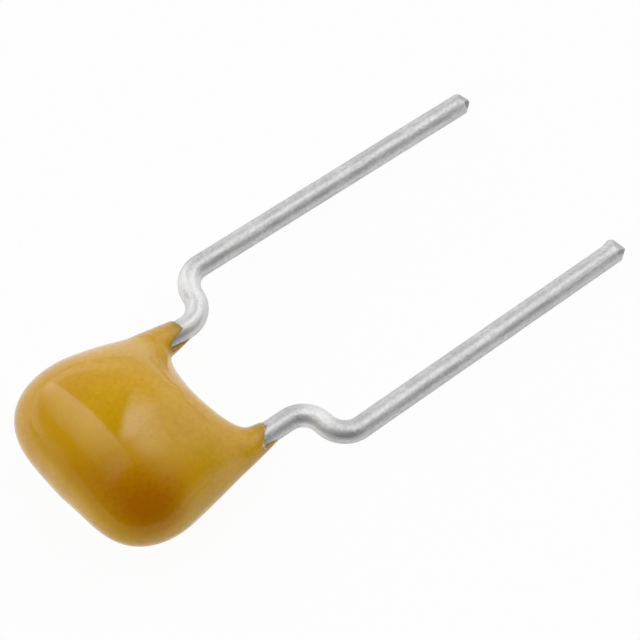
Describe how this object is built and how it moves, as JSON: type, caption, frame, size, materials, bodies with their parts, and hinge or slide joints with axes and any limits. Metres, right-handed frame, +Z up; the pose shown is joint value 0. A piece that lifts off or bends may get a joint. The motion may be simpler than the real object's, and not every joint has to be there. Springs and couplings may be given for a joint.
{
  "type": "multilayer ceramic capacitor",
  "caption": "Radial ceramic capacitor: a multilayer chip dipped in glossy yellow resin, with tinned wire leads kinked outward to stand it off a circuit board.",
  "frame": {"origin": "middle of the footprint of the part lying down, at the height of the surface it lies on", "axes": "+X from the body toward the lead tips, +Y toward the left lead, +Z up; the plane of the leads dips by about 6.1 degrees toward the tips"},
  "size_m": [0.0136, 0.0056, 0.003],
  "materials": {
    "coating_resin": "gloss",
    "tinned_wire": "satin",
    "solder": "satin",
    "end_metal": "matte",
    "ceramic": "matte",
    "electrode_metal": "matte"
  },
  "bodies": {
    "root": {"coating": "coating_resin", "lead_left": "tinned_wire", "lead_right": "tinned_wire", "solder_joint_left": "solder", "solder_joint_right": "solder", "end_termination_left": "end_metal", "end_termination_right": "end_metal", "ceramic_body": "ceramic", "electrodes_left": "electrode_metal", "electrodes_right": "electrode_metal"}
  },
  "joints": []
}
